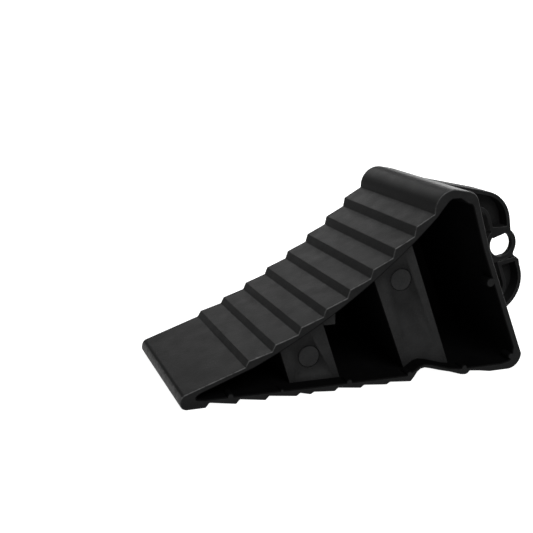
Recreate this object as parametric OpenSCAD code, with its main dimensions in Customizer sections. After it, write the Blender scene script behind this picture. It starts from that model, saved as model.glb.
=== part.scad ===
// Ribbed plastic wheel chock with a stepped ramp and a moulded carry handle.
// X runs from the toe to the handle, Y across the width, Z up from the ground.
// Side outlines are drawn as [x, z] points with x measured from the tip of the toe.

/* [Body] */
// Width of the chock
chock_w = 100; // [90:1:120]
// Height of the cavity floor above the ground
floor_z = 4.2; // [4:0.1:5]
// How far the webs that close the cells sit behind the side edges
web_recess = 10; // [6:1:14]
// Thickness of the webs that close the cells
web_t = 3; // [2.5:0.5:4]
// Thickness of the cross ribs, measured along X
rib_t = 3.2; // [2.5:0.1:4]

/* [Ramp] */
// Radius of the wheel that the ramp fits
wheel_r = 365; // [364:0.5:366]
// Thickness of the ramp skin under the valley of each step
skin_t = 3; // [2.8:0.1:3.2]
// Height of the first riser above the wheel circle
riser_h = 2.3; // [2:0.1:2.6]
// How much higher each riser is than the one before it
riser_growth = 0.14; // [0:0.01:0.2]

/* [Handle] */
// Width of the handle flanges across the chock
handle_w = 21; // [19:1:24]
// Thickness of the handle flanges
flange_t = 2.4; // [2:0.1:3]
// Thickness of the web between the flanges
handle_web_t = 4; // [3:0.5:5]
// Radius of the hole in the rope eye
eye_hole_r = 7.7; // [7.2:0.1:8]
// Outer radius of the rope eye
eye_r = 10.8; // [10.6:0.1:10.9]
// Thickness of the rope eye
eye_t = 4; // [3.6:0.1:4.6]

/* [Pads] */
// Radius of the half-round ejector pads
pad_r = 1.9; // [1.5:0.1:2.2]
// Length of the ejector pads, inwards from the side edge
pad_len = 8; // [5:1:9]

/* [Hidden] */
$fn = 64;

overall_len = 233;
half_w = chock_w / 2;
half_web = half_w - web_recess;
half_h = handle_w / 2;

// wheel circle and the steps on it
wheel_c = [-112.5, 353.5];
first_angle = 24.1;
step_angle = 2.66;
steps = 8;
riser_lean = 36.3;

// crown: two rounds joined by their common tangent
crown_c1 = [159.1, 98.6];
crown_r1 = 11.9;
crown_c2 = [167.6, 101.4];
crown_r2 = 7.5;
crown_tangent = 78.8;
crown_end = 16.9;

// back wall: a bent slab, given by its top, bend and foot
wall_out = [polar(crown_c2, crown_r2, crown_end), [183.7, 74.2], [207.4, 14.4]];
wall_in = [[171.3, 99.9], [179.6, 74], [203.3, 13.6]];

// saw teeth under the sole: [x of the tip, height of the step after it]
teeth = [[14.2, 2.6], [31.3, 2.4], [48.1, 2.2], [66.2, 1.6], [74.5, 1.2], [89, 1.8],
         [104.9, 1.5], [121.1, 1.3]];
tooth_run = 2.1;
front_end = 136.4;
arch_end = 171.7;
heel_start = 196;
nose_end = 8.6;

// cross ribs: [x of the outer face at the cavity floor, lean]
rib_1_face = [65.2, 0.3];
rib_2_face = [96.4, 0.335];
rib_3_face = [136.2, 0.373];
rib_4_face = [166.2, 0.362];

// handle: rounds of the outer contour and of the finger gap
upper_c = [201.4, 80.2];
upper_r = 20.8;
lower_c = [211.2, 43.5];
lower_r = 21.8;
gap_upper_c = [198.2, 81.8];
gap_upper_r = 7.6;
gap_lower_c = [211.8, 39.8];
gap_lower_r = 8;
top_slope = 77.7;
foot_slope = -50;
gap_lean = 21;
eye_c = [216.6, 66.8];
eye_foot = [[212.5, 55.15], [216.4, 55.89], [216.4, 56.69], [224.8, 58.3], [224.8, 57.5],
            [228, 58.11], [225.9, 59.5], [226, 61], [227.1, 64.8], eye_c, [209, 62]];
bar_top = 78;

// slot between the foot of the eye and the lower bar
groove = [[216.4, 55.89], [224.8, 57.5], [224.8, 58.3], [216.4, 56.69]];
// top of the lower half of the handle beyond its web
far_top = 54;

function polar(c, r, a) = [c[0] + r * cos(a), c[1] + r * sin(a)];
function arc(c, r, a0, a1, n) = [for (i = [0 : n]) polar(c, r, a0 + (a1 - a0) * i / n)];
function tangent_left(c, r, a, len) = polar(c, r, a) + len * [-sin(a), cos(a)];
function on_wheel(r, a) = [wheel_c[0] + r * sin(a), wheel_c[1] - r * cos(a)];
function valley(i) = on_wheel(wheel_r - 0.2, first_angle + i * step_angle);
function rise(i) = riser_h + riser_growth * i;
function step_top(i) = let (a = first_angle + i * step_angle, h = rise(i), s = h / tan(riser_lean))
    valley(i) + h * [-sin(a), cos(a)] + s * [cos(a), sin(a)];
function lower_top(x) = 55.05 + 0.1914 * (x - 212);
function upper_foot(x) = 70.7 + 0.33 * (x - 210.5);
function lean_x(face, z) = face[0] - face[1] * (z - floor_z);

// outside of the whole body, clockwise from the tip of the toe
body_outline = concat(
    [[0.1, 2.6], [0, 4.4], [0.5, 6.8], [2, 8.6]],
    [for (i = [0 : steps - 1]) each [valley(i), step_top(i)]],
    [valley(steps)],
    arc(crown_c1, crown_r1, 180, crown_tangent, 14),
    arc(crown_c2, crown_r2, crown_tangent, crown_end, 7),
    [wall_out[1], wall_out[2]],
    arc([200.6, 9], 9, 0, -90, 10),
    [[188.5, 0], [181.7, 1.2], [174.9, 2], [173.6, 0.4], [171.7, 0], [169, 0.4], [161.6, 2.9],
     [155, 4.6], [148.3, 6.6], [145, 7.4], [142.5, 7], [140.4, 5.4], [138.5, 2.6],
     [front_end, 0]],
    [for (i = [7 : -1 : 0]) each [[teeth[i][0] + tooth_run, teeth[i][1]], [teeth[i][0], 0]]],
    [[3.2, 0], [1.2, 0.9]]);

// inside of the body, clockwise from the apex behind the toe
cavity_outline = concat(
    [[nose_end, 5.6], [9.6, 7.2], [11.5, 8.4]],
    [for (i = [0 : 24]) on_wheel(wheel_r + skin_t - 0.2, first_angle + 0.6 + i * 0.862)],
    [[153.3, 100.3], [156.3, 103.8], [158.3, 104.9], [163, 104.9], [168.4, 101.6],
     [170.4, 101.2]],
    wall_in,
    [[203, 8.4], [201.4, 5.6], [heel_start, 4.4], [168, 4.4], [161.5, 5.4], [154.8, 7.4],
     [149.5, 9.1], [145, 9.8], [141.8, 9], [137.5, 6.2], [134.6, floor_z], [60, 4.4],
     [13, 4.9]]);

// outer contour of the handle, moved inwards by d
function contour_upper(d) = concat([tangent_left(upper_c, upper_r - d, top_slope, 44.5)],
    arc(upper_c, upper_r - d, top_slope, 8, 14), [[224 - d, 70]]);
function contour_lower(d) = concat([[223.2 - d, 62.2 - d], [230.3 - d * 1.15, 56.2 - d * 0.5]],
    arc(lower_c, lower_r - d, 24, foot_slope, 14), [[204 - d * 0.6, 9.1 + d * 0.7]]);
// contour of the finger gap, moved outwards by d
function gap_upper(d) = concat([tangent_left(gap_upper_c, gap_upper_r + d, top_slope, 40)],
    arc(gap_upper_c, gap_upper_r + d, top_slope, gap_lean, 8), [[211.5 + d, 68]]);
function gap_lower(d) = concat([[212.2 + d, 62]],
    arc(gap_lower_c, gap_lower_r + d, gap_lean, foot_slope, 8), [[190 + d * 0.6, 14.8 - d * 0.8]]);

// plate of the given [x, z] outline between two planes across the chock
module plate(points, y0, y1) {
    translate([-overall_len / 2, y1, 0])
        rotate([90, 0, 0])
            linear_extrude(height = y1 - y0)
                polygon(points);
}

// hollow body, before it is divided into its regions
module shell() {
    difference() {
        plate(body_outline, -half_w, half_w);
        plate(cavity_outline, -half_w - 1, half_w + 1);
    }
}

module region(points) {
    color("#2b2c2d")
        intersection() {
            shell();
            plate(points, -half_w, half_w);
        }
}

module toe_nose() {
    region([[-1, -1], [-1, 20], [nose_end, 20], [nose_end, -1]]);
}

module ramp_deck() {
    region([[nose_end, 5.6], [30, 10], [100, 50], [125, 68], on_wheel(wheel_r + skin_t - 0.2, 45.388),
            valley(steps), [130, 120], [nose_end, 120]]);
}

module crown() {
    region([valley(steps), on_wheel(wheel_r + skin_t - 0.2, 45.388), [160, 95], wall_in[0],
            wall_out[0], [200, 105], [200, 130], [130, 130], [130, 120]]);
}

module back_wall() {
    region([wall_in[0], [160, 90], [190, 20], wall_in[2], wall_out[2], [230, 20], [200, 105],
            wall_out[0]]);
}

module heel() {
    region([[heel_start, -1], [heel_start, 4.4], [190, 10], wall_in[2], wall_out[2], [230, 20],
            [230, -1]]);
}

module sole_front() {
    region([[nose_end, -1], [nose_end, 5.6], [30, 8], [front_end, 8], [front_end, -1]]);
}

module sole_arch() {
    region([[front_end, -1], [front_end, 12], [arch_end, 12], [arch_end, -1]]);
}

module sole_heel() {
    region([[arch_end, -1], [arch_end, 12], [190, 10], [heel_start, 4.4], [heel_start, -1]]);
}

// part of the cavity between two leaning lines, filled between two planes
module cell_fill(left, right, y0, y1) {
    color("#242526")
        intersection() {
            plate(cavity_outline, y0, y1);
            plate([[lean_x(left, 0), 0], [lean_x(left, 120), 120], [lean_x(right, 120), 120],
                   [lean_x(right, 0), 0]], y0, y1);
        }
}

function shift(face, dx) = [face[0] + dx, face[1]];

module rib_1() {
    cell_fill(rib_1_face, shift(rib_1_face, rib_t), -half_web, half_web);
}

module rib_2() {
    cell_fill(shift(rib_2_face, -rib_t), rib_2_face, -half_web, half_web);
}

module rib_3() {
    cell_fill(rib_3_face, shift(rib_3_face, rib_t), -half_web, half_web);
}

module rib_4() {
    cell_fill(shift(rib_4_face, -rib_t), rib_4_face, -half_web, half_web);
}

module near_web_front() {
    cell_fill(shift(rib_1_face, rib_t), shift(rib_2_face, -rib_t), -half_web, web_t - half_web);
}

module near_web_rear() {
    cell_fill(shift(rib_3_face, rib_t), shift(rib_4_face, -rib_t), -half_web, web_t - half_web);
}

module far_web_toe() {
    cell_fill([-20, 0], rib_1_face, half_web - web_t, half_web);
}

module far_web_middle() {
    cell_fill(rib_2_face, rib_3_face, half_web - web_t, half_web);
}

module far_web_rear() {
    cell_fill(rib_4_face, [260, 0], half_web - web_t, half_web);
}

// small gusset between rib 2 and the underside of the ramp
module ramp_gusset() {
    color("#242526")
        intersection() {
            plate(cavity_outline, -half_web, web_t - half_web);
            plate([[lean_x(rib_2_face, 35.7), 35.7], [lean_x(rib_2_face, 60), 60], [93, 60],
                   [93, 35.7]], -half_web, web_t - half_web);
        }
}

// half-round pads that the ejector pins push on, at the near edges of the thin walls
module ejector_pads() {
    color("#2b2c2d")
        for (p = [[28.1, 4.6, pad_r], [57.6, 4.2, 1.2], [97.8, floor_z, pad_r], [135.6, 4.4, pad_r],
                  [171.1, floor_z, pad_r], [185.6, 54.7, 2.8], [202.4, 8, 2]])
            intersection() {
                plate(cavity_outline, -half_w, pad_len - half_w);
                translate([p[0] - overall_len / 2, pad_len - half_w, p[1]])
                    rotate([90, 0, 0])
                        cylinder(r = p[2], h = pad_len);
            }
}

// disc of the eye with its foot, between two planes across the chock
module eye_disc(y0, y1) {
    difference() {
        union() {
            translate([eye_c[0] - overall_len / 2, y1, eye_c[1]])
                rotate([90, 0, 0])
                    cylinder(r = eye_r, h = y1 - y0);
            plate(eye_foot, y0, y1);
        }
        plate(groove, y0 - 1, y1 + 1);
        plate([[200, lower_top(200)], [240, lower_top(240)], [240, 50], [200, 50]], y0 - 1, y1 + 1);
    }
}

// everything that handle pieces are cut back from: the body, the eye's disc and the step on the far side
module handle_cuts() {
    plate(body_outline, -half_w, half_w);
    eye_disc(-half_h - 1, eye_t - half_h);
    plate([[200, far_top], [200, 61], [240, 61], [240, far_top]], handle_web_t / 2, half_h + 1);
}

// lower and upper halves of the handle's outline at one inset
module handle_plate(d, y) {
    intersection() {
        plate(concat(contour_upper(d), [[160, 70]]), -y, y);
        plate([[150, upper_foot(150)], [150, 130], [240, 130], [240, upper_foot(240)]], -y, y);
    }
    intersection() {
        plate(concat(contour_lower(d), [[180, 9.1], [180, 61]]), -y, y);
        plate([[150, 0], [150, lower_top(150)], [240, lower_top(240)], [240, 0]], -y, y);
    }
}

module gap_plate(d, y) {
    intersection() {
        plate(concat(gap_upper(d), [[160, 68]]), -y, y);
        plate([[150, 68], [150, 130], [240, 130], [240, 68]], -y, y);
    }
    intersection() {
        plate(concat(gap_lower(d), [[170, 14.8], [170, 62]]), -y, y);
        plate([[150, 0], [150, 62], [240, 62], [240, 0]], -y, y);
    }
}

module handle_outer_flange() {
    color("#2f3031")
        difference() {
            handle_plate(0, half_h);
            handle_plate(flange_t, half_h + 1);
            gap_plate(flange_t, half_h + 1);
            handle_cuts();
            lower_bar_shape(half_h + 1);
            upper_bar_shape(half_h + 1);
        }
}

module handle_inner_flange() {
    color("#2f3031")
        difference() {
            intersection() {
                gap_plate(flange_t, half_h);
                handle_plate(0, half_h);
            }
            gap_plate(0, half_h + 1);
            handle_cuts();
        }
}

// bar shapes between the two flanges
module upper_bar_shape(y) {
    difference() {
        plate([[208, upper_foot(208)], [208, bar_top], [221.4, bar_top], [221.4, upper_foot(221.4)]], -y, y);
        gap_plate(flange_t, y + 1);
    }
}

module lower_bar_shape(y) {
    difference() {
        plate([[212, lower_top(212)], [224.8, lower_top(224.8)], [227.6, 55.2], [212, 52]], -y, y);
        gap_plate(flange_t, y + 1);
    }
}

module handle_bar_upper() {
    color("#2f3031")
        difference() {
            upper_bar_shape(half_h);
            handle_cuts();
        }
}

module handle_bar_lower() {
    color("#2f3031")
        difference() {
            lower_bar_shape(half_h);
            handle_cuts();
        }
}

module handle_web(z0, z1) {
    w = handle_web_t / 2;
    color("#262728")
        difference() {
            intersection() {
                handle_plate(flange_t, w);
                plate([[150, z0], [150, z1], [240, z1], [240, z0]], -w, w);
            }
            gap_plate(flange_t, w + 1);
            upper_bar_shape(w + 1);
            lower_bar_shape(w + 1);
            handle_cuts();
        }
}

module handle_web_upper() {
    handle_web(bar_top, 130);
}

module handle_web_lower() {
    handle_web(0, 55.3);
}

module rope_eye() {
    color("#2f3031")
        difference() {
            eye_disc(-half_h, eye_t - half_h);
            translate([eye_c[0] - overall_len / 2, eye_t - half_h + 1, eye_c[1]])
                rotate([90, 0, 0])
                    cylinder(r = eye_hole_r, h = eye_t + 2);
        }
}

toe_nose();
ramp_deck();
crown();
back_wall();
heel();
sole_front();
sole_arch();
sole_heel();
rib_1();
rib_2();
rib_3();
rib_4();
near_web_front();
near_web_rear();
far_web_toe();
far_web_middle();
far_web_rear();
ramp_gusset();
ejector_pads();
handle_outer_flange();
handle_inner_flange();
handle_web_upper();
handle_web_lower();
handle_bar_upper();
handle_bar_lower();
rope_eye();
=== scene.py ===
"""Looks for the wheel chock: every CAD node's side outline is read from the frame and rebuilt as a moulded
piece with rounded corners and rims, engraved ejector rings and black plastic: worn at the toe, with
painted highlights along the rims, painted shade in the hollows and painted light on the recessed webs."""

import math

import bpy
import numpy as np
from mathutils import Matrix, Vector
from mathutils.geometry import tessellate_polygon


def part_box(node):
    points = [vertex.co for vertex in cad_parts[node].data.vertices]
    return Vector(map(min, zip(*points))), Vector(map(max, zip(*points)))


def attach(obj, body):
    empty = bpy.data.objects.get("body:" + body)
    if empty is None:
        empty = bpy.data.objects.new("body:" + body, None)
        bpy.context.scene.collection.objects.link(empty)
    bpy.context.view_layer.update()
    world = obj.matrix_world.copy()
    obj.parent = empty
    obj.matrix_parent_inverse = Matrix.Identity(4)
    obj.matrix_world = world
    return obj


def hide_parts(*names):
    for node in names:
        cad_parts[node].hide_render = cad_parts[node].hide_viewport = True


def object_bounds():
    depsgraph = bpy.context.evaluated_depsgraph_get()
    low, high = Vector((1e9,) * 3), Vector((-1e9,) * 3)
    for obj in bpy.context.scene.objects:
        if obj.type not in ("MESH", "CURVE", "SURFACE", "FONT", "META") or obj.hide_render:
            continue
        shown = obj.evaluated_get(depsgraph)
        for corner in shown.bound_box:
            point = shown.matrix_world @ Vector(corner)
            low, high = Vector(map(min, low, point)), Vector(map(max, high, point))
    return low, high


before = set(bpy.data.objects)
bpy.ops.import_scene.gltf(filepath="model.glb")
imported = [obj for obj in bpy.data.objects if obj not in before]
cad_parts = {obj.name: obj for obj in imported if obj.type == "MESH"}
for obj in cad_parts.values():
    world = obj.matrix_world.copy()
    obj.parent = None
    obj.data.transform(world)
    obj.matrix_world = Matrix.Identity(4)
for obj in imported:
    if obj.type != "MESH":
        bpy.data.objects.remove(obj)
cad_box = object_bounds()

MM = 0.001
NEAR, FAR = -1, 1

# ---------------------------------------------------------------- node groups
SHELL = ["toe_nose", "ramp_deck", "crown", "back_wall", "heel", "sole_heel", "sole_arch", "sole_front"]
RIBS = ["rib_1", "rib_2", "rib_3", "rib_4"]
WEBS = ["near_web_front", "near_web_rear", "far_web_toe", "far_web_middle", "far_web_rear", "ramp_gusset"]
LOBES = {"handle_upper_frame": ["handle_outer_flange", "handle_inner_flange", "handle_bar_upper"],
         "handle_lower_frame": ["handle_outer_flange", "handle_inner_flange", "handle_bar_lower"]}
HANDLE_WEBS = ["handle_web_upper", "handle_web_lower"]

# ---------------------------------------------------------------- moulding radii
SAME_POINT = 0.002 * MM
CORNER_TURN = math.radians(20)    # an outline that turns more than this has a real corner
RIM_R = 0.7 * MM                  # rounding of the side rims of the body
CORNER_R = 0.85 * MM              # riser tops, tooth tips and other outer corners
FILLET_R = 0.7 * MM               # riser feet and inner corners
NOSE_R = 3.2 * MM                 # front of the toe
RIB_R = 0.5 * MM                  # free edges of ribs and gussets
HANDLE_RIM_R = 0.5 * MM
EYE_RIM_R = 0.45 * MM
EYE_PROUD = 0.03 * MM             # lifts the eye's face off the lobes' faces in the same plane
RIM_STEPS = 4
CORNER_STEPS = 6
WELD = 0.0005 * MM                # corners closer than this become one vertex
BURIED = 0.5 * MM                 # how far a piece runs into the wall that it grows from
SIDEWAYS_EDGE_HIGHLIGHT = 0.3                   # painted highlight of an edge that does not face up, against 1 for one that does
STRAIGHT_RIM_HIGHLIGHT = 0.75              # painted highlight of a rim between its corners, against 1 at an outer corner
NOSE_WEAR = 0.4
NOSE_WORN = 1.2 * MM              # how far back from the tip of the toe the wear reaches
GROWN_CORNER = 1.6                # most that a corner moves for each unit that its edges move


# ---------------------------------------------------------------- outlines of CAD nodes
class Corners:
    """Numbers the distinct (x, z) points of all outlines."""

    def __init__(self):
        self.points = np.empty((0, 2))

    def number(self, p):
        if len(self.points):
            far = np.abs(self.points - p).max(axis=1)
            i = int(far.argmin())
            if far[i] < SAME_POINT:
                return i
        self.points = np.vstack([self.points, p])
        return len(self.points) - 1


corners = Corners()


def free_edges(triangles):
    """Directed edges that no other triangle runs along the other way."""
    edges = {(t[i], t[(i + 1) % 3]) for t in triangles for i in range(3)}
    return [e for e in edges if (e[1], e[0]) not in edges]


def side_edges(node, side):
    """Edges round a node's flat side face, with the material on their left as seen from the near side."""
    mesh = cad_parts[node].data
    lo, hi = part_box(node)
    y = lo.y if side == NEAR else hi.y
    flat = [abs(v.co.y - y) < SAME_POINT for v in mesh.vertices]
    triangles = []
    for poly in mesh.polygons:
        if all(flat[v] for v in poly.vertices):
            n = [corners.number((mesh.vertices[v].co.x, mesh.vertices[v].co.z)) for v in poly.vertices]
            a, b, c = corners.points[n]
            turn = (b[0] - a[0]) * (c[1] - b[1]) - (b[1] - a[1]) * (c[0] - b[0])
            triangles.append(n if turn > 0 else n[::-1])
    return free_edges(triangles)


def split(edge):
    """The edge cut at every known corner that lies on it."""
    a, b = corners.points[edge[0]], corners.points[edge[1]]
    d = b - a
    t = (corners.points - a) @ d / (d @ d)
    off = np.abs(corners.points - a - t[:, None] * d).max(axis=1)
    inner = [i for i in np.flatnonzero(off < SAME_POINT) if 0 < t[i] < 1 and i not in edge]
    stops = [edge[0], *sorted(inner, key=lambda i: t[i]), edge[1]]
    return list(zip(stops, stops[1:]))


def chained(edges):
    """Closed loops of corner numbers made of the directed edges."""
    after = {}
    for a, b in edges:
        after.setdefault(a, []).append(b)
    loops = []
    while after:
        start = min(after)
        loop = [start]
        while True:
            onward = after[loop[-1]]
            step = onward.pop()
            if not onward:
                del after[loop[-1]]
            if step == start:
                break
            loop.append(step)
        loops.append(loop)
    return loops


def merged_loops(nodes, side):
    """Loops round several nodes taken as one, longest first. Edges that two of them share fall away."""
    raw = [e for n in nodes for e in side_edges(n, side)]
    edges = {s for e in raw for s in split(e)}
    outer = [e for e in edges if (e[1], e[0]) not in edges]
    return sorted(chained(outer), key=len, reverse=True)


# ---------------------------------------------------------------- rounded loops
def unit(v):
    return v / max(np.linalg.norm(v), 1e-12)


def out_of(direction):
    """Unit normal pointing out of the material, for an edge with the material on its left."""
    return unit(np.array([direction[1], -direction[0]]))


def inset_vector(n0, n1, w0=1.0, w1=1.0):
    """Move per millimetre of rounding for a corner between edges with normals n0 and n1."""
    m = np.array([n0, n1])
    if abs(np.linalg.det(m)) < 0.02:
        return -unit(n0 + n1) * (w0 + w1) / 2
    return np.linalg.solve(m, [-w0, -w1])


class Loop:
    """A closed side outline with its normals and its way inwards at each point."""

    def __init__(self):
        self.p, self.n_in, self.n_out = [], [], []
        self.near, self.far = [], []          # inset vectors at the two rims
        self.pivot, self.pivot_move, self.radius = [], [], []
        self.edge_kind = []                   # the edge that leaves each point: open, inner or seam
        self.corner_at = []
        self.worn = []                        # wear of the face across the width at each point

    def add(self, p, n_in, n_out, near, far, pivot, radius, kind, corner, worn=0.0):
        self.p.append(p)
        self.n_in.append(n_in)
        self.n_out.append(n_out)
        self.near.append(near)
        self.far.append(far)
        self.pivot.append(pivot)
        self.pivot_move.append(near)
        self.radius.append(radius)
        self.edge_kind.append(kind)
        self.corner_at.append(corner)
        self.worn.append(worn)

    def inset(self, distance, side):
        """The points moved inwards; an outer corner's arc shrinks to its pivot."""
        p, move = np.array(self.p), np.array(self.near if side == NEAR else self.far)
        gone = distance > np.array(self.radius)
        shrunk = np.array(self.pivot) + distance * np.array(self.pivot_move)
        return np.where(gone[:, None], shrunk, p + distance * move)


def rounded(points, outer_r, inner_r, open_near=None, open_far=None, kinds=None, marks=None):
    """A Loop from a closed outline. Corners get arcs, other points stay and are shaded smooth.
    outer_r and inner_r are radii or functions of the corner's point. open_near and open_far give each
    edge's share of the rim rounding. marks name corners to find again."""
    pts = np.asarray(points, float)
    count = len(pts)
    open_near = np.ones(count) if open_near is None else np.asarray(open_near, float)
    open_far = open_near if open_far is None else np.asarray(open_far, float)
    kinds = ["open"] * count if kinds is None else kinds
    marks = list(range(count)) if marks is None else marks
    step = np.roll(pts, -1, axis=0) - pts
    length = np.linalg.norm(step, axis=1)
    normal = np.array([out_of(s) for s in step])
    loop = Loop()
    for i in range(count):
        j = i - 1
        n0, n1 = normal[j], normal[i]
        d0, d1 = step[j] / length[j], step[i] / length[i]
        turn = math.atan2(d0[0] * d1[1] - d0[1] * d1[0], d0 @ d1)
        near = inset_vector(n0, n1, open_near[j], open_near[i])
        far = inset_vector(n0, n1, open_far[j], open_far[i])
        free = min(open_near[j], open_near[i], open_far[j], open_far[i]) > 0
        if abs(turn) < CORNER_TURN:
            share = length[j] ** 2, length[i] ** 2
            n = unit(n0 * share[0] + n1 * share[1])
            loop.add(pts[i], n, n, near, far, pts[i], math.inf, kinds[i], marks[i])
            continue
        wanted = outer_r if turn > 0 else inner_r
        wanted = wanted(pts[i]) if callable(wanted) else wanted
        reach = min(wanted * math.tan(abs(turn) / 2), 0.45 * length[j], 0.45 * length[i])
        r = reach / math.tan(abs(turn) / 2)
        if not free or r < 0.02 * MM:
            loop.add(pts[i], n0, n1, near, far, pts[i], math.inf, kinds[i], marks[i])
            continue
        way = 1 if turn > 0 else -1
        centre = pts[i] - reach * d0 - way * r * n0
        for k in range(CORNER_STEPS + 1):
            a = turn * k / CORNER_STEPS
            n = np.array([n0[0] * math.cos(a) - n0[1] * math.sin(a),
                          n0[0] * math.sin(a) + n0[1] * math.cos(a)])
            limit = r if turn > 0 else math.inf
            kind = kinds[j] if k < CORNER_STEPS else kinds[i]
            mark = marks[i] if k == CORNER_STEPS // 2 else None
            loop.add(centre + way * r * n, n, n, -n, -n, pts[i], limit, kind, mark)
            loop.pivot_move[-1] = near
    return loop


def part_of(loop, first, last):
    """The run of a loop between two marked corners, both included, as a list of indices."""
    count = len(loop.p)
    a, b = loop.corner_at.index(first), loop.corner_at.index(last)
    return [(a + k) % count for k in range((b - a) % count + 1)]


def region(ring, corner_loop):
    """One node's share of the ring: runs along the ring's loops, joined by straight seams."""
    where = {c: loop for loop in ring for c in loop.corner_at if c is not None}
    homes = [where.get(c) for c in corner_loop]
    start = next(i for i in range(len(homes)) if homes[i] is not homes[i - 1])
    order = corner_loop[start:] + corner_loop[:start]
    runs = []
    for c in order:
        if runs and runs[-1][0] is where[c]:
            runs[-1][2] = c
        else:
            runs.append([where[c], c, c])
    piece = Loop()
    for home, first, last in runs:
        picked = part_of(home, first, last)
        for i in picked:
            kind = "seam" if i == picked[-1] else home.edge_kind[i]
            piece.add(home.p[i], home.n_in[i], home.n_out[i], home.near[i], home.far[i], home.pivot[i],
                      home.radius[i], kind, None, home.worn[i])
            piece.pivot_move[-1] = home.pivot_move[i]
    for i, kind in enumerate(piece.edge_kind):
        if kind == "seam":
            j = (i + 1) % len(piece.p)
            n = out_of(piece.p[j] - piece.p[i])
            piece.n_out[i] = n
            piece.n_in[j] = n
    return piece


# ---------------------------------------------------------------- meshes
def object_from_faces(name, faces):
    """Makes a mesh object from (corner points, corner normals, material number, wear and painted edge
    highlight) faces, welded.
    """
    verts, index, polys, normals, slots, wear_and_edge_highlight = [], {}, [], [], [], {}
    for points, ns, slot, edge in faces:
        ids, kept = [], []
        for p, n, e in zip(points, ns, edge):
            k = tuple(round(c / WELD) for c in p)
            if k not in index:
                index[k] = len(verts)
                verts.append(p)
            if index[k] not in ids:
                ids.append(index[k])
                kept.append(n)
            wear_and_edge_highlight[index[k]] = max(wear_and_edge_highlight.get(index[k], 0.0), e)
        if len(ids) > 2:
            polys.append(ids)
            normals.extend(kept)
            slots.append(slot)
    mesh = bpy.data.meshes.new(name)
    mesh.from_pydata([tuple(v) for v in verts], [], polys)
    mesh.polygons.foreach_set("use_smooth", [True] * len(polys))
    mesh.polygons.foreach_set("material_index", slots)
    # the point attribute holds real wear at the toe and a painted highlight along the rims
    layer = mesh.attributes.new("wear_and_edge_highlight", "FLOAT", "POINT")
    layer.data.foreach_set("value", [wear_and_edge_highlight[i] for i in range(len(verts))])
    mesh.update()
    mesh.normals_split_custom_set([tuple(unit(np.array(n))) for n in normals])
    obj = bpy.data.objects.new(name, mesh)
    bpy.context.scene.collection.objects.link(obj)
    return obj


def filled(loops_2d, y, side, slot=0):
    """Triangles of a flat side face."""
    flat = [[Vector((p[0], p[1], 0)) for p in loop] for loop in loops_2d]
    where = [p for loop in loops_2d for p in loop]
    faces = []
    for t in tessellate_polygon(flat):
        a, b, c = (where[i] for i in t)
        turn = (b[0] - a[0]) * (c[1] - b[1]) - (b[1] - a[1]) * (c[0] - b[0])
        if abs(turn) < 1e-16:
            continue
        order = [a, b, c] if (turn > 0) == (side == NEAR) else [c, b, a]
        faces.append(([(p[0], y, p[1]) for p in order], [(0, side, 0)] * 3, slot, [0] * 3))
    return faces


def plate_faces(loops, y0, y1, radius, face_near=None, painted_shade_sides=()):
    """Faces of a plate across the width with rounded rims. Loops are Loop objects. Inner edges and the
    side faces named in the last argument take the second material, a darker copy that paints shade into
    the hollows."""
    quarter = [math.pi / 2 * k / RIM_STEPS for k in range(RIM_STEPS + 1)]
    turns = [(math.cos(t), math.sin(t)) for t in quarter]
    # one station for each step of the two rims: side, y, inset, and the normal's lean and rise
    stations = [(NEAR, y0 + radius * (1 - c), radius * (1 - s), -c, s) for c, s in turns]
    stations += [(FAR, y1 - radius * (1 - c), radius * (1 - s), c, s) for c, s in reversed(turns)]
    faces = []
    rims = {NEAR: [], FAR: []}
    for loop in loops:
        rings = [loop.inset(s[2], s[0]) for s in stations]
        rims[NEAR].append(rings[0])
        rims[FAR].append(rings[-1])
        count = len(loop.p)
        for i in range(count):
            j = (i + 1) % count
            flat = loop.edge_kind[i] == "seam"
            # inner edges take the second material, the darker copy: painted shade in the hollows
            slot = int(loop.edge_kind[i] == "inner")
            for a in range(len(stations) - 1):
                b = a + 1
                pts, ns, edge = [], [], []
                for s, k, n in ((a, i, loop.n_out[i]), (b, i, loop.n_out[i]), (b, j, loop.n_in[j]),
                                (a, j, loop.n_in[j])):
                    q = rings[s][k]
                    pts.append((q[0], stations[s][1], q[1]))
                    lean, rise = (0, 1) if flat else (stations[s][3], stations[s][4])
                    ns.append((n[0] * rise, lean, n[1] * rise))
                    # Painted highlight: a pale line along the middle of each rounded rim, weaker between
                    # corners and on edges that do not face up. The toe's real wear joins it through worn.
                    rim = 0.0 if flat else math.sin(2 * math.atan2(abs(lean), rise)) ** 2
                    rim *= 1.0 if math.isfinite(loop.radius[k]) else STRAIGHT_RIM_HIGHLIGHT
                    rim *= SIDEWAYS_EDGE_HIGHLIGHT + (1 - SIDEWAYS_EDGE_HIGHLIGHT) * max(n[1], 0.0) ** 2
                    edge.append(max(rim, loop.worn[k] * rise))
                faces.append((pts, ns, slot, edge))
    faces += face_near(rims[NEAR], y0) if face_near else filled(rims[NEAR], y0, NEAR, int(NEAR in painted_shade_sides))
    faces += filled(rims[FAR], y1, FAR, int(FAR in painted_shade_sides))
    return faces


# ---------------------------------------------------------------- the body shell
def nose_or_corner(p):
    return NOSE_R if p[0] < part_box("toe_nose")[1].x else CORNER_R


def shell_ring():
    loops = merged_loops(SHELL, NEAR)
    outer, cavity = sorted(loops, key=lambda l: corners.points[l][:, 0].min())[:2]
    made = [rounded(corners.points[outer], nose_or_corner, FILLET_R, marks=outer),
            rounded(corners.points[cavity], CORNER_R, 2 * FILLET_R, marks=cavity,
                    kinds=["inner"] * len(cavity))]
    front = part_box("toe_nose")[0].x + NOSE_WORN
    made[0].worn = [NOSE_WEAR if p[0] < front else 0.0 for p in made[0].p]
    return made, outer, cavity


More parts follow.
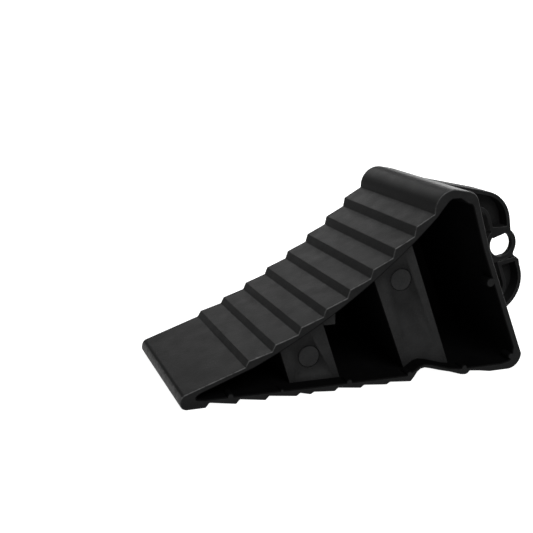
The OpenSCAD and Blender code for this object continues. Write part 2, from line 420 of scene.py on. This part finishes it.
def build_shell():
    ring, outer, cavity = shell_ring()
    lo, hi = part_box("ramp_deck")
    made = []
    for node in SHELL:
        loop = merged_loops([node], NEAR)[0]
        known = [c for c in loop if c in outer or c in cavity]
        piece = object_from_faces(node + "_skin", plate_faces([region(ring, known)], lo.y, hi.y, RIM_R))
        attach(piece, "root")
        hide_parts(node)
        made.append(piece)
    return made, outer, cavity


# ---------------------------------------------------------------- ribs and webs
def on_loop(p, loop):
    """Whether a point lies on a closed loop of corner numbers."""
    a = corners.points[loop]
    b = np.roll(a, -1, axis=0)
    d = b - a
    t = np.clip(((p - a) * d).sum(axis=1) / (d * d).sum(axis=1), 0, 1)
    return np.linalg.norm(p - a - t[:, None] * d, axis=1).min() < 2 * SAME_POINT


def grown(points, amount):
    """A closed outline with each edge moved outwards by its amount."""
    step = np.roll(points, -1, axis=0) - points
    n = np.array([out_of(s) for s in step])
    moved = []
    for i, p in enumerate(points):
        move = inset_vector(n[i - 1], n[i], -amount[i - 1], -amount[i])
        longest = GROWN_CORNER * max(amount[i - 1], amount[i])
        moved.append(p + move * min(1.0, longest / max(np.linalg.norm(move), 1e-12)))
    return np.array(moved)


def inner_piece(node, cavity, mates):
    """A rib, web or gusset: rounded where its edge is free, sunk into the shell where it grows from it."""
    loop = merged_loops([node], NEAR)[0]
    pts = corners.points[loop]
    lo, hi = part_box(node)
    middle = (pts + np.roll(pts, -1, axis=0)) / 2
    sunk = np.array([on_loop(m, cavity) for m in middle])
    near = [not (sunk[i] or any(on_loop(m, mates[o]) for o in mates
                                if o != node and abs(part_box(o)[0].y - lo.y) < SAME_POINT))
            for i, m in enumerate(middle)]
    far = [not (sunk[i] or any(on_loop(m, mates[o]) for o in mates
                               if o != node and abs(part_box(o)[1].y - hi.y) < SAME_POINT))
           for i, m in enumerate(middle)]
    pts = grown(pts, np.where(sunk, BURIED, 0))
    return rounded(pts, CORNER_R, FILLET_R, near, far, kinds=["inner"] * len(pts)), lo.y, hi.y


RING_R = {"near_web_front": 6.2 * MM, "near_web_rear": 6.4 * MM}
RING_FROM = {"near_web_front": (16.0 * MM, 14.5 * MM), "near_web_rear": (16.3 * MM, 53.3 * MM)}
GROOVE_W = 0.35 * MM
GROOVE_DEPTH = 0.05 * MM
GROOVE_LEAST_SLOPE = 0.35         # keeps the groove's shading normals off the plane of the face
GROOVE_STEPS = 6
RING_STEPS = 72


def ring_face(centre, radius):
    """A flat near face with an engraved ejector ring."""
    def circle(r):
        return [centre + r * np.array([math.cos(2 * math.pi * k / RING_STEPS),
                                       math.sin(2 * math.pi * k / RING_STEPS)]) for k in range(RING_STEPS)]

    def build(rims, y):
        faces = filled(rims + [circle(radius + GROOVE_W / 2)], y, NEAR)
        rows = [(radius + GROOVE_W / 2 * math.cos(a), y + GROOVE_DEPTH * math.sin(a),
                 math.cos(a), math.sin(a))
                for a in (math.pi * k / GROOVE_STEPS for k in range(GROOVE_STEPS + 1))]
        for (r0, ya, c0, s0), (r1, yb, c1, s1) in zip(rows, rows[1:]):
            a, b = circle(r0), circle(r1)
            for k in range(RING_STEPS):
                m = (k + 1) % RING_STEPS
                pts = [(a[m][0], ya, a[m][1]), (a[k][0], ya, a[k][1]), (b[k][0], yb, b[k][1]),
                       (b[m][0], yb, b[m][1])]
                ns = []
                for q, c, s in ((m, c0, s0), (k, c0, s0), (k, c1, s1), (m, c1, s1)):
                    w = unit(circle(1)[q] - centre)
                    ns.append((-w[0] * c, -max(s, GROOVE_LEAST_SLOPE), -w[1] * c))
                faces.append((pts, ns, 0, [0] * 4))
        return faces + filled([circle(radius - GROOVE_W / 2)], y, NEAR)
    return build


def build_core(cavity):
    mates = {n: merged_loops([n], NEAR)[0] for n in RIBS + WEBS}
    made = []
    for node in RIBS + WEBS:
        loop, y0, y1 = inner_piece(node, cavity, mates)
        face = None
        if node in RING_R:
            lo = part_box(node)[0]
            centre = np.array([lo.x + RING_FROM[node][0], lo.z + RING_FROM[node][1]])
            face = ring_face(centre, RING_R[node])
        # the web sides that face into the hollows take the darker second material: painted shade
        inner = {"far_web": (NEAR,), "near_web": (FAR,)}.get(node.rpartition("_")[0], ())
        piece = object_from_faces(node + "_moulded",
                                  plate_faces([loop], y0, y1, RIB_R, face_near=face, painted_shade_sides=inner))
        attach(piece, "root")
        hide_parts(node)
        made.append(piece)
    return made


def build_pads(cavity):
    lo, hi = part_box("ejector_pads")
    faces = []
    for loop in merged_loops(["ejector_pads"], NEAR):
        pts = corners.points[loop]
        middle = (pts + np.roll(pts, -1, axis=0)) / 2
        sunk = np.array([on_loop(m, cavity) for m in middle])
        pts = grown(pts, np.where(sunk, RIM_R, 0))
        loop = rounded(pts, CORNER_R, FILLET_R, ~sunk, ~sunk, kinds=["inner"] * len(pts))
        faces += plate_faces([loop], lo.y, hi.y, RIB_R)
    piece = object_from_faces("ejector_pads_moulded", faces)
    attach(piece, "root")
    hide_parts("ejector_pads")
    return piece


# ---------------------------------------------------------------- the handle
def handle_piece(name, loops, y0, y1, nodes, outer):
    """One frame of the handle from its rim and its holes, sunk into the body where it grows from it."""
    faces_loops = []
    for loop in loops:
        pts = corners.points[loop]
        middle = (pts + np.roll(pts, -1, axis=0)) / 2
        sunk = np.array([on_loop(m, outer) for m in middle])
        pts = grown(pts, np.where(sunk, BURIED, 0))
        kind = "inner" if is_hole(loop) else "open"
        faces_loops.append(rounded(pts, CORNER_R, FILLET_R, ~sunk, ~sunk, kinds=[kind] * len(pts)))
    piece = object_from_faces(name, plate_faces(faces_loops, y0, y1, HANDLE_RIM_R))
    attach(piece, "root")
    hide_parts(*nodes)
    return piece


def is_hole(loop):
    p = corners.points[loop]
    q = np.roll(p, -1, axis=0)
    return (p[:, 0] * q[:, 1] - q[:, 0] * p[:, 1]).sum() < 0


def inside(p, loop):
    a = corners.points[loop]
    b = np.roll(a, -1, axis=0)
    spans = (a[:, 1] > p[1]) != (b[:, 1] > p[1])
    with np.errstate(divide="ignore", invalid="ignore"):
        x = a[:, 0] + (p[1] - a[:, 1]) * (b[:, 0] - a[:, 0]) / (b[:, 1] - a[:, 1])
    return bool((spans & (p[0] < x)).sum() % 2)


def build_handle(outer):
    """The upper frame, the lower frame in two depths with a step on its far side, and the two webs."""
    nodes = sorted({n for names in LOBES.values() for n in names})
    lo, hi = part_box("handle_outer_flange")
    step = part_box("handle_web_lower")[1].y
    upper, lower = LOBES
    made = []
    for name, which, side, y0, y1 in ((upper, 0, FAR, lo.y, hi.y), (lower, -1, NEAR, lo.y, step),
                                      (lower, -1, FAR, step - 2 * HANDLE_RIM_R, hi.y)):
        loops = merged_loops(nodes, side)
        solid = sorted([l for l in loops if not is_hole(l)], key=lambda l: -corners.points[l][:, 1].max())
        rim = solid[which]
        holes = [l for l in loops if is_hole(l) and inside(corners.points[l[0]], rim)]
        made.append(handle_piece(name, [rim] + holes, y0, y1, LOBES[name], outer))
    for node in HANDLE_WEBS:
        lo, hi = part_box(node)
        loop = merged_loops([node], FAR)[0]
        pts = grown(corners.points[loop], np.full(len(loop), BURIED))
        closed = np.zeros(len(pts))
        piece = object_from_faces(node + "_moulded",
                                  plate_faces([rounded(pts, 0, 0, closed)], lo.y, hi.y, RIB_R))
        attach(piece, "root")
        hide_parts(node)
        made.append(piece)
    return made


def build_eye():
    lo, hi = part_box("rope_eye")
    loops = [rounded(corners.points[loop], CORNER_R, FILLET_R) for loop in merged_loops(["rope_eye"], FAR)]
    piece = object_from_faces("rope_eye_moulded", plate_faces(loops, lo.y - EYE_PROUD, hi.y, EYE_RIM_R))
    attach(piece, "root")
    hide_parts("rope_eye")
    return piece


# ---------------------------------------------------------------- materials
# scales of the noises, in cells for each metre
MOTTLE = 110
GRAIN = 3800
SPECKS = 900
SCUFF_SPOTS = 1100
SCUFF_AREAS = 70
# patches of the toe's wear and of the painted rim highlight
WEAR_AND_HIGHLIGHT_PATCHES = 260
RIPPLE = 420
RIPPLE_SHARE = 2.5                # height of the ripple against the grain
BUMP_STRENGTH = 0.35
BUMP_DEPTH = 0.06 * MM


def plastic(name, colour, rough, specular, wear_and_highlight_colour):
    """Black plastic with a mottle, specks, small scuffs, a grained surface and paler edges: real wear at
    the toe and a painted highlight along the rims.
    """
    mat = bpy.data.materials.new(name)
    mat.use_nodes = True
    nt = mat.node_tree
    bsdf = nt.nodes["Principled BSDF"]
    bsdf.inputs["Specular IOR Level"].default_value = specular
    coord = nt.nodes.new("ShaderNodeTexCoord")

    def noise(scale, detail, rough_in=0.5):
        n = nt.nodes.new("ShaderNodeTexNoise")
        n.inputs["Scale"].default_value = scale
        n.inputs["Detail"].default_value = detail
        n.inputs["Roughness"].default_value = rough_in
        nt.links.new(coord.outputs["Object"], n.inputs["Vector"])
        return n.outputs["Fac"]

    def ramp(source, low, high, out_low, out_high):
        r = nt.nodes.new("ShaderNodeMapRange")
        r.inputs["From Min"].default_value = low
        r.inputs["From Max"].default_value = high
        r.inputs["To Min"].default_value = out_low
        r.inputs["To Max"].default_value = out_high
        nt.links.new(source, r.inputs["Value"])
        return r.outputs["Result"]

    def mix(fac, a, b):
        m = nt.nodes.new("ShaderNodeMix")
        m.data_type = "RGBA"
        nt.links.new(fac, m.inputs["Factor"])
        m.inputs["A"].default_value = (*a, 1) if isinstance(a, tuple) else (0, 0, 0, 1)
        if not isinstance(a, tuple):
            nt.links.new(a, m.inputs["A"])
        m.inputs["B"].default_value = (*b, 1)
        return m.outputs["Result"]

    def product(a, b):
        m = nt.nodes.new("ShaderNodeMath")
        m.operation = "MULTIPLY"
        nt.links.new(a, m.inputs[0])
        nt.links.new(b, m.inputs[1])
        return m.outputs[0]

    def shade(factor):
        return tuple(c * factor for c in colour)

    mottle = noise(MOTTLE, 5, 0.6)
    grain = noise(GRAIN, 3, 0.6)
    body = mix(ramp(mottle, 0.35, 0.7, 0, 1), shade(0.85), shade(1.2))
    body = mix(ramp(noise(SPECKS, 4, 0.65), 0.45, 0.7, 0, 0.5), body, shade(1.5))
    scuff_spots = ramp(noise(SCUFF_SPOTS, 3), 0.58, 0.7, 0, 1)
    scuff_areas = ramp(noise(SCUFF_AREAS, 2), 0.52, 0.66, 0, 0.6)
    body = mix(product(scuff_spots, scuff_areas), body, shade(2.6))
    # The mesh's attribute mixes in the paler edge colour: painted highlight lines along the rims and real
    # wear at the toe, broken into patches.
    wear_and_edge_highlight = nt.nodes.new("ShaderNodeAttribute")
    wear_and_edge_highlight.attribute_name = "wear_and_edge_highlight"
    patchy = product(wear_and_edge_highlight.outputs["Fac"], ramp(noise(WEAR_AND_HIGHLIGHT_PATCHES, 4, 0.7), 0.35, 0.6, 0.3, 1))
    nt.links.new(mix(patchy, body, wear_and_highlight_colour), bsdf.inputs["Base Color"])
    nt.links.new(ramp(mottle, 0.3, 0.75, rough - 0.05, rough + 0.08), bsdf.inputs["Roughness"])
    height = nt.nodes.new("ShaderNodeMath")
    height.operation = "MULTIPLY_ADD"
    nt.links.new(noise(RIPPLE, 3), height.inputs[0])
    height.inputs[1].default_value = RIPPLE_SHARE
    nt.links.new(grain, height.inputs[2])
    bump = nt.nodes.new("ShaderNodeBump")
    bump.inputs["Strength"].default_value = BUMP_STRENGTH
    bump.inputs["Distance"].default_value = BUMP_DEPTH
    nt.links.new(height.outputs[0], bump.inputs["Height"])
    nt.links.new(bump.outputs["Normal"], bsdf.inputs["Normal"])
    return mat


def area_light(name, spot, target, power):
    light = bpy.data.lights.new(name, "AREA")
    light.shape = "SQUARE"
    light.size = SOFTBOX
    light.energy = power
    obj = bpy.data.objects.new(name, light)
    obj.location = spot
    obj.rotation_euler = (target - spot).to_track_quat("-Z", "Y").to_euler()
    bpy.context.scene.collection.objects.link(obj)


FLOOR_R = 3.0
SWEEP_R = 0.6
SWEEP_STEPS = 12
FLOOR_SIDES = 96
FLOOR_GREY = (0.3, 0.3, 0.3, 1)
FLOOR_GLOW = 1.0
WHITE = (1, 1, 1, 1)
WORLD_GLOW = 0.01
SOFTBOX = 0.5
# name: (offset from the stage's centre, power in watts)
SOFTBOXES = {"softbox_back": ((0.0, 0.75, 0.45), 2.9),
             "softbox_back_right": ((0.6, 0.5, 0.45), 10.5),
             "softbox_front": ((0.0, -0.6, 0.6), 7)}


def build_stage():
    centre = (cad_box[0] + cad_box[1]) / 2
    profile = [(0.0, 0.0), (FLOOR_R, 0.0)]
    profile += [(FLOOR_R + SWEEP_R * math.sin(a), SWEEP_R * (1 - math.cos(a)))
                for a in np.linspace(0, math.pi / 2, SWEEP_STEPS + 1)[1:]]
    turns = [2 * math.pi * k / FLOOR_SIDES for k in range(FLOOR_SIDES)]
    verts = [(r * math.cos(t), r * math.sin(t), z) for r, z in profile for t in turns]
    faces = []
    for i in range(len(profile) - 1):
        for k in range(FLOOR_SIDES):
            a, b = i * FLOOR_SIDES + k, i * FLOOR_SIDES + (k + 1) % FLOOR_SIDES
            faces.append((a, b, b + FLOOR_SIDES, a + FLOOR_SIDES))
    mesh = bpy.data.meshes.new("floor")
    mesh.from_pydata(verts, [], faces)
    mesh.polygons.foreach_set("use_smooth", [True] * len(faces))
    floor = bpy.data.objects.new("floor", mesh)
    bpy.context.scene.collection.objects.link(floor)
    mat = bpy.data.materials.new("pale_floor")
    mat.use_nodes = True
    bsdf = mat.node_tree.nodes["Principled BSDF"]
    bsdf.inputs["Base Color"].default_value = FLOOR_GREY
    bsdf.inputs["Roughness"].default_value = 0.9
    bsdf.inputs["Specular IOR Level"].default_value = 0.0
    bsdf.inputs["Emission Color"].default_value = WHITE
    bsdf.inputs["Emission Strength"].default_value = FLOOR_GLOW
    mesh.materials.append(mat)
    for name, (offset, power) in SOFTBOXES.items():
        area_light(name, centre + Vector(offset), centre, power)
    world = bpy.data.worlds.new("studio")
    bpy.context.scene.world = world
    world.use_nodes = True
    background = world.node_tree.nodes["Background"]
    background.inputs["Color"].default_value = WHITE
    background.inputs["Strength"].default_value = WORLD_GLOW


# the camera that the photo's straight ridges give
CAMERA_AT = (-0.22514, -0.50809, 0.19619)
CAMERA_TILT = math.radians(75.998)
CAMERA_TURN = math.radians(-18.925)
CAMERA_LENS = 63.95


def build_camera():
    data = bpy.data.cameras.new("camera")
    data.lens = CAMERA_LENS
    data.sensor_width = 36
    data.clip_start, data.clip_end = 0.01, 100
    camera = bpy.data.objects.new("camera", data)
    camera.location = CAMERA_AT
    camera.rotation_euler = (CAMERA_TILT, 0, CAMERA_TURN)
    bpy.context.scene.collection.objects.link(camera)
    bpy.context.scene.camera = camera


# The last colour of each plastic is its paler edge colour: a painted highlight along the rims, and real
# wear at the toe.
shell_mat = plastic("satin_black_plastic", (0.0076, 0.0077, 0.0078), 0.45, 0.020, (0.13, 0.13, 0.13))
# A darker copy of the same plastic on inner edges and on the sides that face into the hollows: painted
# shade.
painted_shade_mat = plastic("cavity_plastic_painted_shade", (0.0020, 0.0020, 0.0021), 0.60, 0.01, (0.004, 0.004, 0.004))
# A paler copy of the same plastic for the recessed ribs and webs, painted lighter to stand in for light
# that the lamps do not bring there.
core_mat = plastic("matt_black_plastic_painted_lighter", (0.0125, 0.0126, 0.0127), 0.50, 0.02, (0.02, 0.02, 0.02))
handle_mat = plastic("handle_black_plastic", (0.0078, 0.0079, 0.0080), 0.60, 0.012, (0.05, 0.05, 0.05))
web_mat = plastic("handle_web_plastic", (0.0085, 0.0086, 0.0087), 0.60, 0.012, (0.022, 0.022, 0.022))

shell_pieces, outer_loop, cavity_loop = build_shell()
core_pieces = build_core(cavity_loop)
pads = build_pads(cavity_loop)
handle_pieces = build_handle(outer_loop)
eye = build_eye()
for piece in shell_pieces:
    piece.data.materials.append(shell_mat)
    piece.data.materials.append(painted_shade_mat)
for piece in core_pieces:
    piece.data.materials.append(core_mat)
    piece.data.materials.append(painted_shade_mat)
pads.data.materials.append(shell_mat)
pads.data.materials.append(painted_shade_mat)
for piece in handle_pieces + [eye]:
    piece.data.materials.append(web_mat if "web" in piece.name else handle_mat)
    piece.data.materials.append(painted_shade_mat)

build_stage()
build_camera()
bpy.context.scene.view_settings.view_transform = "Standard"
